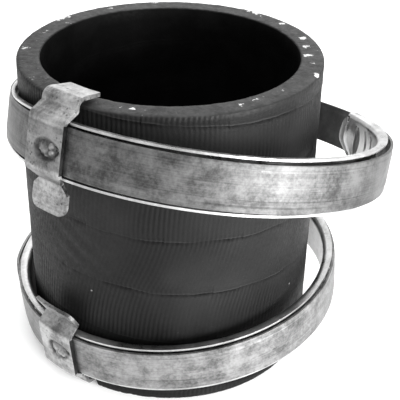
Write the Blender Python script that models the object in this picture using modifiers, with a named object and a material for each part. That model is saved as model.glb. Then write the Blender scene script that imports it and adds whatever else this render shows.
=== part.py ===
"""Charge air hose: a short straight rubber coupler that carries two open band clamps.

The hose stands on its lower end with its bore along Z. Each clamp is a lined worm-drive
clamp that hangs from a sheet-metal clip hooked over the wall at one end of the hose.
The clamps are open, so they are wider than the hose and lean away from their clips.
The footprint's centre is at the origin and the lowest face is at z = 0.
"""
import math

import bmesh
import bpy
from mathutils import Euler, Matrix, Vector

MM = 0.001

# Hose
HOSE_BORE = 70.0 * MM
HOSE_WALL = 6.5 * MM
HOSE_LENGTH = 87.5 * MM
HOSE_EDGE = 0.6 * MM
HOSE_FACETS = 80

# Clearances between pieces that touch on the real object
TOUCH_GAP = 0.3 * MM
LAP_GAP = 0.35 * MM

# Clamp band, a rolled strap with a raised middle
BAND_WIDTH = 12.0 * MM
BAND_THICKNESS = 0.8 * MM
BAND_LIP = 1.2 * MM
BAND_SLOPE = 0.7 * MM
BAND_CREST = 0.25 * MM
BAND_CORNER = 2.5 * MM
BAND_FACETS = 72
LAP_RAMP_DEG = 18.0
LAP_LEAD_DEG = 12.0
FIXED_END_DEG = 6.0

# Worm grooves pressed into the outside of the band's free end
GROOVE_PITCH = 2.6 * MM
GROOVE_WIDTH = 1.2 * MM
GROOVE_DEPTH = 0.4 * MM
GROOVE_EDGE = 2.3 * MM
GROOVE_SLANT_DEG = 6.0
GROOVE_MARGIN = 6.0 * MM

# Liner, a channel whose flanges turn outwards beside the band
LINER_SIDE = 1.1 * MM
LINER_THICKNESS = 0.6 * MM
LINER_FLANGE = 1.8 * MM
LINER_BEND = 1.1 * MM
LINER_PLAY = 0.5 * MM
LINER_END_GAP = 6.0 * MM
LINER_FACETS = 70

# The liner's tongue end
TONGUE_BOW = 2.4 * MM
TONGUE_STEPS = 6
TONGUE_SLOT_COUNT = 3
TONGUE_SLOT_PITCH = 3.2 * MM
TONGUE_SLOT_WIDTH = 1.1 * MM
TONGUE_SLOT_EDGE = 2.8 * MM
TONGUE_SLOT_START = 6.2 * MM
DISH_LENGTH = 2.8 * MM
DISH_EDGE = 3.3 * MM
DISH_DEPTH = 0.3 * MM
DISH_START = 3.4 * MM
LINER_HOLE = 3.0 * MM
LINER_HOLE_DEG = 24.0

# Retaining clip, bent from one strip of sheet
CLIP_THICKNESS = 1.1 * MM
CLIP_STEP = 3.4 * MM
CLIP_LEG = 5.7 * MM
CLIP_LEAF = 7.0 * MM
CLIP_LEAF_OPEN_DEG = 6.0
CLIP_HOOK_RADIUS = 1.5 * MM
CLIP_BEND_RADIUS = 1.0 * MM
CLIP_RAMP_RISE = 2.7 * MM
CLIP_BRIDGE_MARGIN = 0.35 * MM
CLIP_TAB_ROUND = 2.6 * MM
CLIP_TAB_SHOULDER = 2.8 * MM
CLIP_LEG_WIDTH = 13.2 * MM
CLIP_BRIDGE_WIDTH = 12.5 * MM
CLIP_LEG_CLEARANCE = 0.75 * MM
CLINCH_DIAMETER = 6.4 * MM
CLINCH_DEPTH = 0.7 * MM
CLINCH_DROP = 1.3 * MM
CLINCH_FACETS = 30

# Screw housing and worm screw
HOUSING_LENGTH = 14.0 * MM
HOUSING_WALL = 0.9 * MM
HOUSING_BASE = 1.3 * MM
HOUSING_COLLAR = 1.3 * MM
SCREW_CORE = 5.6 * MM
SCREW_NECK = 5.0 * MM
SCREW_THREAD = 1.1 * MM
SCREW_HEX = 7.0 * MM
SCREW_HEAD = 4.6 * MM
SCREW_SLOT_WIDTH = 1.1 * MM
SCREW_SLOT_DEPTH = 1.5 * MM
SCREW_RUNNING_GAP = 0.3 * MM

# Upper clamp: how far it is opened past the hose, how it leans, and where its parts are
UPPER_SLACK = 10.2 * MM
UPPER_LEAN_X_DEG = -13.0
UPPER_LEAN_Y_DEG = 7.6
UPPER_HOOK_BEARING_DEG = -125.5
UPPER_CLIP_BEARING_DEG = -132.9
UPPER_CLIP_SHIFT = 0.2 * MM
UPPER_CLIP_TAB = 8.3 * MM
UPPER_CLIP_NECK_WIDTH = 8.4 * MM
UPPER_CLIP_TAB_WIDTH = 13.2 * MM
UPPER_HOOK_RISE = 1.5 * MM
UPPER_CLOSURE_DEG = 78.0
UPPER_TAIL = 14.0 * MM
UPPER_TONGUE_GAP = 37.0 * MM

# Lower clamp
LOWER_SLACK = 4.1 * MM
LOWER_LEAN_X_DEG = 1.8
LOWER_LEAN_Y_DEG = -4.8
LOWER_HOOK_BEARING_DEG = -128.8
LOWER_CLIP_BEARING_DEG = -131.2
LOWER_CLIP_SHIFT = 0.2 * MM
LOWER_CLIP_TAB = 5.1 * MM
LOWER_CLIP_NECK_WIDTH = 13.2 * MM
LOWER_CLIP_TAB_WIDTH = 14.0 * MM
LOWER_HOOK_BITE = 1.65 * MM
LOWER_CLOSURE_DEG = 106.0
LOWER_TAIL = 66.0 * MM
LOWER_TONGUE_GAP = 10.0 * MM

# Sizes that follow from those above
HOSE_RADIUS = HOSE_BORE / 2 + HOSE_WALL
CLAMP_STACK = BAND_THICKNESS + TOUCH_GAP + LINER_FLANGE
GROOVE_LENGTH = BAND_WIDTH - 2 * GROOVE_EDGE
LINER_HEIGHT = BAND_WIDTH + 2 * LINER_SIDE
TONGUE_SLOT_LENGTH = LINER_HEIGHT - 2 * TONGUE_SLOT_EDGE
DISH_HEIGHT = LINER_HEIGHT - 2 * DISH_EDGE
CLIP_REACH = BAND_WIDTH / 2 + CLIP_LEG
LAP_STEP = BAND_THICKNESS + LAP_GAP
THREAD_RADIUS = SCREW_CORE / 2 + SCREW_THREAD
HEX_RADIUS = SCREW_HEX / math.sqrt(3)


def clear_scene():
    for item in list(bpy.data.objects):
        bpy.data.objects.remove(item)


def make_collection(name):
    collection = bpy.data.collections.new(name)
    bpy.context.scene.collection.children.link(collection)
    return collection


def make_material(name, colour, roughness, metallic):
    material = bpy.data.materials.new(name)
    material.use_nodes = True
    shader = material.node_tree.nodes["Principled BSDF"]
    shader.inputs["Base Color"].default_value = (*colour, 1.0)
    shader.inputs["Roughness"].default_value = roughness
    shader.inputs["Metallic"].default_value = metallic
    return material


def add_object(name, data, collection, parent=None, material=None):
    item = bpy.data.objects.new(name, data)
    collection.objects.link(item)
    item.parent = parent
    if material:
        item.data.materials.append(material)
    return item


def hide_cutter(item):
    item.hide_render = True
    item.display_type = "WIRE"
    return item


def shade(item):
    item.data.shade_smooth()
    item.data.set_sharp_from_angle(angle=math.radians(35))


def add_boolean(item, cutter, operation="DIFFERENCE"):
    modifier = item.modifiers.new(cutter.name, "BOOLEAN")
    modifier.operation = operation
    modifier.solver = "EXACT"
    modifier.object = cutter


def turned_ring(name, outline, facets, collection, parent=None, material=None):
    """Turn a closed (radius, height) outline that runs down its outer side."""
    mesh = bpy.data.meshes.new(name)
    count = len(outline)
    mesh.from_pydata([(r, 0, z) for r, z in outline], [(i, (i + 1) % count) for i in range(count)], [])
    item = add_object(name, mesh, collection, parent, material)
    screw = item.modifiers.new("turn", "SCREW")
    screw.axis = "Z"
    screw.steps = facets
    screw.render_steps = facets
    screw.use_merge_vertices = True
    screw.merge_threshold = 0.00001
    return item


def extruded_outline(name, points, depth, collection, parent=None):
    """Fill a closed flat outline in XY and extrude it along Z, centred on its plane."""
    curve = bpy.data.curves.new(name + "_outline", "CURVE")
    curve.dimensions = "2D"
    curve.fill_mode = "BOTH"
    curve.extrude = depth / 2
    spline = curve.splines.new("POLY")
    spline.points.add(len(points) - 1)
    for point, (x, y) in zip(spline.points, points):
        point.co = (x, y, 0, 1)
    spline.use_cyclic_u = True
    return mesh_from_curve(name, curve, collection, parent)


def mesh_from_curve(name, curve, collection, parent=None):
    """Turn a curve into a closed mesh object, with its caps welded on."""
    guide = bpy.data.objects.new(name + "_curve", curve)
    bpy.context.scene.collection.objects.link(guide)
    bpy.context.view_layer.update()
    depsgraph = bpy.context.evaluated_depsgraph_get()
    mesh = bpy.data.meshes.new_from_object(guide.evaluated_get(depsgraph))
    bpy.data.objects.remove(guide)
    work = bmesh.new()
    work.from_mesh(mesh)
    bmesh.ops.remove_doubles(work, verts=work.verts, dist=0.000005)
    bmesh.ops.recalc_face_normals(work, faces=work.faces)
    work.to_mesh(mesh)
    work.free()
    mesh.name = name
    return add_object(name, mesh, collection, parent)


def sheet(name, rows, thickness, collection, parent, material, reverse=False):
    """Make a sheet from rows of points; None leaves that place open. It thickens outwards."""
    mesh = bpy.data.meshes.new(name)
    work = bmesh.new()
    grid = [[work.verts.new(p) if p is not None else None for p in row] for row in rows]
    for low, high in zip(grid, grid[1:]):
        for column in range(len(low) - 1):
            corners = [low[column], high[column], high[column + 1], low[column + 1]]
            if None in corners:
                continue
            work.faces.new(corners[::-1] if reverse else corners)
    loose = [v for v in work.verts if not v.link_faces]
    bmesh.ops.delete(work, geom=loose, context="VERTS")
    work.to_mesh(mesh)
    work.free()
    item = add_object(name, mesh, collection, parent, material)
    solidify = item.modifiers.new("thickness", "SOLIDIFY")
    solidify.thickness = thickness
    solidify.offset = 1.0
    solidify.use_even_offset = True
    return item


def primitive(name, build, matrix, collection, parent=None):
    """Make an object from one bmesh primitive, moved by a matrix."""
    mesh = bpy.data.meshes.new(name)
    work = bmesh.new()
    build(work)
    bmesh.ops.transform(work, matrix=matrix, verts=work.verts)
    work.to_mesh(mesh)
    work.free()
    return add_object(name, mesh, collection, parent)


def box(name, size, matrix, collection, parent=None):
    def build(work):
        bmesh.ops.create_cube(work, size=1.0, matrix=Matrix.Diagonal((*size, 1.0)))
    return primitive(name, build, matrix, collection, parent)


def cylinder(name, radius, depth, matrix, collection, parent=None, sides=32):
    def build(work):
        bmesh.ops.create_cone(work, cap_ends=True, segments=sides, radius1=radius, radius2=radius, depth=depth)
    return primitive(name, build, matrix, collection, parent)


def join_meshes(name, items, collection, parent=None):
    """Join separate closed bodies into one cutter object."""
    mesh = bpy.data.meshes.new(name)
    work = bmesh.new()
    for item in items:
        work.from_mesh(item.data)
        bpy.data.objects.remove(item)
    work.to_mesh(mesh)
    work.free()
    return hide_cutter(add_object(name, mesh, collection, parent))


def polar(radius, angle, height):
    return Vector((radius * math.cos(angle), radius * math.sin(angle), height))


def radial_frame(angle, radius, height=0.0):
    """A frame on a clamp's rim: X along the rim, Y up the clamp's axis, Z outwards."""
    tangent = Vector((-math.sin(angle), math.cos(angle), 0))
    outward = Vector((math.cos(angle), math.sin(angle), 0))
    up = Vector((0, 0, 1))
    frame = Matrix((tangent, up, outward)).transposed().to_4x4()
    frame.translation = polar(radius, angle, height)
    return frame


def smooth_step(value):
    value = min(max(value, 0.0), 1.0)
    return value * value * (3 - 2 * value)


def arc_points(centre, radius, start, end, steps):
    """Points on an arc in a plane, from one angle to another in radians."""
    for i in range(steps + 1):
        angle = start + (end - start) * i / steps
        yield (centre[0] + radius * math.cos(angle), centre[1] + radius * math.sin(angle))


def rounded_path(points, radii, steps=3):
    """Replace each inner corner of a flat path with an arc of the radius given for it."""
    path = [Vector(points[0])]
    for before, corner, after, radius in zip(points, points[1:], points[2:], radii):
        corner = Vector(corner)
        back = (Vector(before) - corner).normalized()
        ahead = (Vector(after) - corner).normalized()
        half = back.angle(ahead) / 2
        setback = radius / math.tan(half)
        middle = corner + (back + ahead).normalized() * (radius / math.sin(half))
        first = corner + back * setback - middle
        turn = first.angle_signed(corner + ahead * setback - middle)
        for i in range(steps + 1):
            path.append(middle + Matrix.Rotation(-turn * i / steps, 2) @ first)
    path.append(Vector(points[-1]))
    return path


class Clamp:
    """The sizes and places that the pieces of one clamp share."""

    def __init__(self, name, end, slack, lean, hook_bearing, clip_bearing, clip_shift, clip_tab,
                 clip_neck_width, clip_tab_width, hook_height, closure, tail, tongue_gap):
        self.name = name
        self.end = end
        self.clip_tab = clip_tab
        self.clip_neck_width = clip_neck_width
        self.clip_tab_width = clip_tab_width
        self.radius = HOSE_RADIUS + CLAMP_STACK + slack
        self.lean = Euler((math.radians(lean[0]), math.radians(lean[1]), 0), "XYZ").to_matrix()
        self.clip_angle = math.radians(clip_bearing)
        self.clip_shift = clip_shift
        self.closure = math.radians(closure)
        self.tail = tail
        self.tongue_gap = tongue_gap
        self.leg_radius = self.radius + TOUCH_GAP - CLIP_STEP
        hook = polar(self.leg_radius, self.clip_angle, clip_shift + end * CLIP_REACH)
        seat = polar(HOSE_RADIUS + CLIP_LEG_CLEARANCE, math.radians(hook_bearing), hook_height)
        self.frame = Matrix.Translation(seat - self.lean @ hook) @ self.lean.to_4x4()
        self.clinch_height = clip_shift - end * CLINCH_DROP
        self.screw_radius = self.radius + LAP_STEP + HEX_RADIUS + TOUCH_GAP

    def lap_offset(self, angle):
        """How far the band stands off its own circle at an angle past its fixed end."""
        lap_start = self.closure + math.tau - math.radians(LAP_LEAD_DEG + LAP_RAMP_DEG)
        return LAP_STEP * smooth_step((angle - lap_start) / math.radians(LAP_RAMP_DEG))

    def band_ends(self):
        start = self.closure - math.radians(FIXED_END_DEG)
        return start, self.closure + math.tau + self.tail / self.radius


UPPER = Clamp("upper", 1, UPPER_SLACK, (UPPER_LEAN_X_DEG, UPPER_LEAN_Y_DEG), UPPER_HOOK_BEARING_DEG,
              UPPER_CLIP_BEARING_DEG, UPPER_CLIP_SHIFT, UPPER_CLIP_TAB, UPPER_CLIP_NECK_WIDTH,
              UPPER_CLIP_TAB_WIDTH, HOSE_LENGTH + UPPER_HOOK_RISE,
              UPPER_CLOSURE_DEG, UPPER_TAIL, UPPER_TONGUE_GAP)
LOWER = Clamp("lower", -1, LOWER_SLACK, (LOWER_LEAN_X_DEG, LOWER_LEAN_Y_DEG), LOWER_HOOK_BEARING_DEG,
              LOWER_CLIP_BEARING_DEG, LOWER_CLIP_SHIFT, LOWER_CLIP_TAB, LOWER_CLIP_NECK_WIDTH,
              LOWER_CLIP_TAB_WIDTH, LOWER_HOOK_BITE,
              LOWER_CLOSURE_DEG, LOWER_TAIL, LOWER_TONGUE_GAP)


def make_hose(parts, cutters, root, lower_frame):
    """The rubber tube, with the dent that the lower clip's hook has pressed into its end."""
    inner = HOSE_BORE / 2
    outer = HOSE_RADIUS
    edge = HOSE_EDGE
    outline = [
        (outer - edge, HOSE_LENGTH), (outer, HOSE_LENGTH - edge),
        (outer, edge), (outer - edge, 0),
        (inner + edge, 0), (inner, edge),
        (inner, HOSE_LENGTH - edge), (inner + edge, HOSE_LENGTH),
    ]
    material = make_material("hose_rubber", (0.035, 0.035, 0.036), 0.62, 0.0)
    hose = turned_ring("hose", outline, HOSE_FACETS, parts, root, material)
    width = CLIP_LEG_WIDTH + 4 * TOUCH_GAP
    depth = HOSE_WALL + CLIP_LEAF
    height = 2 * CLIP_THICKNESS + 2 * TOUCH_GAP
    angle = LOWER.clip_angle
    top = LOWER.clip_shift - CLIP_REACH + 2 * TOUCH_GAP
    frame = radial_frame(angle, LOWER.leg_radius - CLIP_LEAF / 2, top - height / 2)
    dent = box("hook_dent", (width, height, depth), frame, cutters, lower_frame)
    hide_cutter(dent)
    add_boolean(hose, dent)
    shade(hose)
    return hose


def band_rows(clamp):
    """The band's inner face: rows along its length, with rolled lips and rounded free corners."""
    start, end = clamp.band_ends()
    half = BAND_WIDTH / 2
    inner = clamp.radius - BAND_THICKNESS - BAND_CREST
    shape = [(-1.0, 0.0), (-1 + BAND_LIP / half, 0.0), (-1 + (BAND_LIP + BAND_SLOPE) / half, 1.0)]
    shape += [(-side, rise) for side, rise in reversed(shape)]
    count = round(BAND_FACETS * (end - start) / math.tau)
    angles = [start + (end - start) * i / count for i in range(count)]
    corner = BAND_CORNER / clamp.radius
    angles = [a for a in angles if a < end - corner]
    angles += [end - corner * math.cos(math.pi / 2 * i / 4) for i in range(5)]
    rows = []
    for angle in angles:
        into_corner = max(0.0, (angle - (end - corner)) / corner)
        trim = BAND_CORNER * (1 - math.sqrt(max(0.0, 1 - into_corner ** 2)))
        scale = (half - trim) / half
        radius = inner + clamp.lap_offset(angle)
        rows.append([polar(radius + BAND_CREST * rise, angle, half * side * scale) for side, rise in shape])
    return rows


def make_band(clamp, parts, cutters, frame):
    """The strap: one turn, a lap over its own fixed end, and a grooved free end."""
    material = make_material(clamp.name + "_band_steel", (0.60, 0.60, 0.60), 0.38, 1.0)
    band = sheet(clamp.name + "_band", band_rows(clamp), BAND_THICKNESS, parts, frame, material)
    start, end = clamp.band_ends()
    face = clamp.radius + LAP_STEP
    pitch = GROOVE_PITCH / face
    first = end - GROOVE_MARGIN / face
    count = int((first - (clamp.closure + math.tau - HOUSING_LENGTH / 2 / face)) / pitch) + 1
    grooves = []
    for i in range(count):
        place = radial_frame(first - i * pitch, face)
        slant = Matrix.Rotation(math.radians(GROOVE_SLANT_DEG), 4, "Z")
        size = (GROOVE_WIDTH, GROOVE_LENGTH, 2 * GROOVE_DEPTH)
        grooves.append(box("groove", size, place @ slant, cutters))
    add_boolean(band, join_meshes(clamp.name + "_grooves", grooves, cutters, frame))
    hole = cylinder(clamp.name + "_clinch_hole", CLINCH_DIAMETER / 2 + TOUCH_GAP, 6 * BAND_THICKNESS,
                    radial_frame(clamp.clip_angle, clamp.radius, clamp.clinch_height), cutters, frame,
                    sides=CLINCH_FACETS)
    add_boolean(band, hide_cutter(hole))
    shade(band)
    return band


def liner_section():
    """The liner's outer skin as (outward, up) steps from the web's face."""
    half = LINER_HEIGHT / 2
    return [(LINER_FLANGE, half), (LINER_BEND, half), (0, half - LINER_BEND)]


def make_liner(clamp, parts, cutters, frame):
    """The lining channel, with a flat bowed tongue at one end."""
    web = clamp.radius - CLAMP_STACK - LINER_PLAY
    side = liner_section()
    half_tongue = side[-1][1]
    tip = clamp.closure - (HOUSING_LENGTH / 2 + clamp.tongue_gap) / web
    flange_end = tip - TONGUE_BOW / web
    start = clamp.closure + (HOUSING_LENGTH / 2 + LINER_END_GAP) / web - math.tau
    count = round(LINER_FACETS * (flange_end - start) / math.tau)
    rows = []
    for i in range(count + 1):
        angle = start + (flange_end - start) * i / count
        row = [polar(web + out, angle, up) for out, up in side]
        row += [polar(web + out, angle, -up) for out, up in reversed(side)]
        rows.append(row)
    blank = [None] * (len(side) - 1)
    for step in range(1, TONGUE_STEPS):
        bow = math.pi / 2 * step / TONGUE_STEPS
        angle = flange_end + TONGUE_BOW * math.sin(bow) / web
        half = half_tongue * math.cos(bow)
        rows.append(blank + [polar(web, angle, half), polar(web, angle, -half)] + blank)
    material = make_material(clamp.name + "_liner_steel", (0.66, 0.66, 0.66), 0.30, 1.0)
    liner = sheet(clamp.name + "_liner", rows, LINER_THICKNESS, parts, frame, material, reverse=True)
    add_boolean(liner, liner_openings(clamp, web, tip, cutters, frame))
    shade(liner)
    return liner


def liner_openings(clamp, web, tip, cutters, frame):
    """The slots and the oval dish near the tongue, and a round hole further along."""
    through = 6 * LINER_THICKNESS
    items = []
    for i in range(TONGUE_SLOT_COUNT):
        along = TONGUE_SLOT_START + i * TONGUE_SLOT_PITCH
        place = radial_frame(tip - along / web, web)
        items.append(box("slot", (TONGUE_SLOT_WIDTH, TONGUE_SLOT_LENGTH, through), place, cutters))
    place = radial_frame(tip - DISH_START / web, web)
    squash = Matrix.Diagonal((DISH_LENGTH / 2, DISH_HEIGHT / 2, DISH_DEPTH, 1))

    def build_dish(work):
        bmesh.ops.create_uvsphere(work, u_segments=16, v_segments=6, radius=1.0)
    items.append(primitive("dish", build_dish, place @ squash, cutters))
    place = radial_frame(math.radians(LINER_HOLE_DEG), web)
    if clamp is LOWER:
        items.append(cylinder("hole", LINER_HOLE / 2, through, place, cutters, sides=20))
    return join_meshes(clamp.name + "_liner_openings", items, cutters, frame)


def clip_rows(clamp):
    """The clip's hose-side face, from the hook's free end down to the tab's rounded end."""
    leg = -CLIP_STEP
    bridge = BAND_WIDTH / 2 + CLIP_BRIDGE_MARGIN
    ramp = bridge + CLIP_RAMP_RISE
    open_angle = math.radians(CLIP_LEAF_OPEN_DEG)
    leaf = (leg - CLIP_LEAF * math.cos(open_angle), CLIP_REACH + CLIP_LEAF * math.sin(open_angle))
    corners = [leaf, (leg, CLIP_REACH), (leg, ramp), (0, bridge), (0, -bridge), (leg, -ramp),
               (leg, -ramp - clamp.clip_tab)]
    radii = [CLIP_HOOK_RADIUS] + [CLIP_BEND_RADIUS] * 4
    path = rounded_path(corners, radii)
    tab_end = path[-1]
    path.pop()
    tab_top = -ramp - clamp.clip_tab + CLIP_TAB_ROUND
    path += [Vector((leg, tab_top - CLIP_TAB_ROUND * math.sin(math.radians(a)))) for a in (0, 22.5, 45, 67.5, 90)]
    rows = []
    for point in path:
        half = clip_half_width(clamp, point.y, bridge, ramp, tab_end.y)
        base = clamp.radius + TOUCH_GAP + point.x
        height = clamp.clip_shift + clamp.end * point.y
        row = []
        for share in (-1, -0.6, -0.2, 0.2, 0.6, 1):
            angle = clamp.clip_angle + share * half / clamp.radius
            row.append(polar(base, angle, height))
        rows.append(row)
    return rows


def clip_half_width(clamp, height, bridge, ramp, tab_end):
    """The strip's half width at a height: wide over the band, necked below it, round at the tab."""
    if height > -bridge:
        widening = smooth_step((ramp - height) / CLIP_RAMP_RISE)
        return (CLIP_LEG_WIDTH + (CLIP_BRIDGE_WIDTH - CLIP_LEG_WIDTH) * widening) / 2
    if height > -ramp:
        narrowing = smooth_step((-bridge - height) / CLIP_RAMP_RISE)
        return (CLIP_BRIDGE_WIDTH + (clamp.clip_neck_width - CLIP_BRIDGE_WIDTH) * narrowing) / 2
    widening = smooth_step((-ramp - height) / CLIP_TAB_SHOULDER)
    half = (clamp.clip_neck_width + (clamp.clip_tab_width - clamp.clip_neck_width) * widening) / 2
    left = height - tab_end
    if left < CLIP_TAB_ROUND:
        half -= CLIP_TAB_ROUND - math.sqrt(max(0.0, CLIP_TAB_ROUND ** 2 - (CLIP_TAB_ROUND - left) ** 2))
    return half


def make_clip(clamp, parts, cutters, frame):
    """The retaining clip, with the round clinch that fixes it to the band."""
    material = make_material(clamp.name + "_clip_steel", (0.62, 0.62, 0.62), 0.45, 1.0)
    clip = sheet(clamp.name + "_retaining_clip", clip_rows(clamp), CLIP_THICKNESS, parts, frame, material,
                 reverse=clamp.end < 0)
    inner = clamp.radius + TOUCH_GAP
    boss_depth = CLINCH_DEPTH + TOUCH_GAP
    boss = cylinder(clamp.name + "_clinch_boss", CLINCH_DIAMETER / 2, CLIP_THICKNESS / 2 + boss_depth,
                    radial_frame(clamp.clip_angle, inner + (CLIP_THICKNESS / 2 - boss_depth) / 2,
                                 clamp.clinch_height), cutters, frame, sides=CLINCH_FACETS)
    add_boolean(clip, hide_cutter(boss), "UNION")
    face = inner + CLIP_THICKNESS
    recess = cylinder(clamp.name + "_clinch_recess", CLINCH_DIAMETER / 2 - CLIP_THICKNESS / 3,
                      2 * CLINCH_DEPTH, radial_frame(clamp.clip_angle, face, clamp.clinch_height),
                      cutters, frame, sides=CLINCH_FACETS)
    add_boolean(clip, hide_cutter(recess))
    shade(clip)
    return clip


def housing_outline(clamp):
    """The housing's section as (outward from the screw's axis, up) points, closed."""
    shell = THREAD_RADIUS + SCREW_RUNNING_GAP + HOUSING_WALL
    base = clamp.radius - BAND_THICKNESS - BAND_CREST - TOUCH_GAP - HOUSING_BASE - clamp.screw_radius
    shoulder = clamp.radius + LAP_STEP + TOUCH_GAP + HOUSING_WALL - clamp.screw_radius
    half = BAND_WIDTH / 2 + TOUCH_GAP + HOUSING_WALL
    points = [(base, half), (base, -half), (shoulder, -half)]
    points += list(arc_points((0, 0), shell, math.radians(-100), math.radians(100), 16))
    points.append((shoulder, half))
    return points


def screw_matrix(clamp):
    """The screw's frame: Z along its axis towards the head, X outwards."""
    angle = clamp.closure
    outward = Vector((math.cos(angle), math.sin(angle), 0))
    axis = Vector((math.sin(angle), -math.cos(angle), 0))
    frame = Matrix((outward, axis.cross(outward), axis)).transposed().to_4x4()
    frame.translation = polar(clamp.screw_radius, angle, 0)
    return frame


def make_housing(clamp, parts, cutters, frame):
    """The screw housing: a saddle around both layers of the band, with a tunnel for the worm."""
    housing = extruded_outline(clamp.name + "_screw_housing", housing_outline(clamp), HOUSING_LENGTH, parts, frame)
    material = make_material(clamp.name + "_housing_steel", (0.58, 0.58, 0.58), 0.40, 1.0)
    housing.data.materials.append(material)
    housing.matrix_local = screw_matrix(clamp)
    low = clamp.radius - BAND_THICKNESS - BAND_CREST - TOUCH_GAP
    high = clamp.radius + LAP_STEP + TOUCH_GAP
    half = BAND_WIDTH / 2 + TOUCH_GAP
    outline = [(high, half), (high, -half), (low, -half), (low, half)]
    passage = turned_ring(clamp.name + "_band_passage", outline, BAND_FACETS, cutters, frame)
    add_boolean(housing, hide_cutter(passage))
    chamber_length = HOUSING_LENGTH - 2 * HOUSING_COLLAR
    chamber = cylinder(clamp.name + "_worm_chamber", THREAD_RADIUS + SCREW_RUNNING_GAP, chamber_length,
                       screw_matrix(clamp), cutters, frame)
    add_boolean(housing, hide_cutter(chamber))
    necks = cylinder(clamp.name + "_neck_bore", SCREW_NECK / 2 + SCREW_RUNNING_GAP, 2 * HOUSING_LENGTH,
                     screw_matrix(clamp), cutters, frame)
    add_boolean(housing, hide_cutter(necks))
    shade(housing)
    return housing


def make_screw(clamp, parts, cutters, frame):
    """The worm screw: a threaded core between two necks, and a slotted hexagon head."""
    name = clamp.name + "_worm_screw"
    worm_length = HOUSING_LENGTH - 2 * HOUSING_COLLAR - 2 * TOUCH_GAP
    screw = cylinder(name, SCREW_CORE / 2, worm_length, Matrix.Identity(4), parts, frame, sides=20)
    screw.data.materials.append(make_material(name + "_steel", (0.55, 0.55, 0.55), 0.35, 1.0))
    screw.matrix_local = screw_matrix(clamp)
    turns = (worm_length - 2 * SCREW_THREAD) / GROOVE_PITCH
    steps = 14
    curve = bpy.data.curves.new(name + "_thread", "CURVE")
    curve.dimensions = "3D"
    curve.bevel_depth = SCREW_THREAD / 2
    curve.bevel_resolution = 0
    curve.use_fill_caps = True
    count = int(turns * steps)
    spline = curve.splines.new("POLY")
    spline.points.add(count)
    for i, point in enumerate(spline.points):
        angle = math.tau * i / steps
        height = GROOVE_PITCH * (i - count / 2) / steps
        point.co = (*polar(THREAD_RADIUS - SCREW_THREAD / 2, angle, height), 1)
    thread = hide_cutter(mesh_from_curve(name + "_thread", curve, cutters, screw))
    add_boolean(screw, thread, "UNION")
    head_low = HOUSING_LENGTH / 2 + TOUCH_GAP
    neck_length = head_low + SCREW_HEAD / 2 + HOUSING_LENGTH / 2
    neck_centre = (head_low + SCREW_HEAD / 2 - HOUSING_LENGTH / 2) / 2
    neck = cylinder(name + "_neck", SCREW_NECK / 2, neck_length, Matrix.Translation((0, 0, neck_centre)),
                    cutters, screw, sides=20)
    add_boolean(screw, hide_cutter(neck), "UNION")
    head_middle = head_low + SCREW_HEAD / 2
    head = cylinder(name + "_head", HEX_RADIUS, SCREW_HEAD, Matrix.Translation((0, 0, head_middle)),
                    cutters, screw, sides=6)
    add_boolean(screw, hide_cutter(head), "UNION")
    top = head_low + SCREW_HEAD
    slot = box(name + "_slot", (SCREW_SLOT_WIDTH, 3 * HEX_RADIUS, 2 * SCREW_SLOT_DEPTH),
               Matrix.Translation((0, 0, top)), cutters, screw)
    add_boolean(screw, hide_cutter(slot))
    shade(screw)
    return screw


def centre_on_footprint(root, items):
    """Move the whole assembly so that its footprint's centre and lowest point are at the origin."""
    bpy.context.view_layer.update()
    depsgraph = bpy.context.evaluated_depsgraph_get()
    points = []
    for item in items:
        shown = item.evaluated_get(depsgraph)
        points += [shown.matrix_world @ vertex.co for vertex in shown.data.vertices]
    low = [min(p[axis] for p in points) for axis in range(3)]
    high = [max(p[axis] for p in points) for axis in range(3)]
    root.location = (-(low[0] + high[0]) / 2, -(low[1] + high[1]) / 2, -low[2])
    bpy.context.view_layer.update()


def main():
    clear_scene()
    parts = make_collection("charge_air_hose")
    cutters = make_collection("cutters")
    root = add_object("charge_air_hose_frame", None, parts)
    frames = {}
    for clamp in (UPPER, LOWER):
        frames[clamp.name] = add_object(clamp.name + "_clamp_frame", None, parts, root)
        frames[clamp.name].matrix_local = clamp.frame
    items = [make_hose(parts, cutters, root, frames["lower"])]
    for clamp in (UPPER, LOWER):
        for make in (make_band, make_liner, make_clip, make_housing, make_screw):
            items.append(make(clamp, parts, cutters, frames[clamp.name]))
    centre_on_footprint(root, items)


main()
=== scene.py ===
import math

import bmesh
import bpy
import numpy as np
from mathutils import Euler, Matrix, Vector, noise


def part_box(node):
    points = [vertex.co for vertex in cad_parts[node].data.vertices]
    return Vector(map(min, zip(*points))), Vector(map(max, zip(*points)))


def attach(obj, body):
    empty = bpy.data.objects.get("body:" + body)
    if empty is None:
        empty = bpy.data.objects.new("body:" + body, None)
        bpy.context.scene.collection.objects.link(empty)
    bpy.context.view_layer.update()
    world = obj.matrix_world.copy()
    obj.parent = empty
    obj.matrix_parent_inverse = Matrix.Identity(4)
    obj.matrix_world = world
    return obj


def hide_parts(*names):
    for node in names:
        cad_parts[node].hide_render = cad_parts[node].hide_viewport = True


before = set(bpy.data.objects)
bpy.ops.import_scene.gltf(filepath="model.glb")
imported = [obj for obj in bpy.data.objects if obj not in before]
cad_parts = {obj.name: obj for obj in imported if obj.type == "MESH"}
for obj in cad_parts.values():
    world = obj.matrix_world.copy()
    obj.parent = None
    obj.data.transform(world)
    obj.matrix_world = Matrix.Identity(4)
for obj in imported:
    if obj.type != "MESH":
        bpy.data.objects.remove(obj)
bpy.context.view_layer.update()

MM = 0.001
BODY = "clamped_hose"

# Sizes with MM are in metres. Names that end in DEG are in degrees.

# Hose, the same sizes as in the CAD source
BORE_R = 35.0 * MM
HOSE_R = 41.5 * MM
HOSE_L = 87.5 * MM

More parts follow.
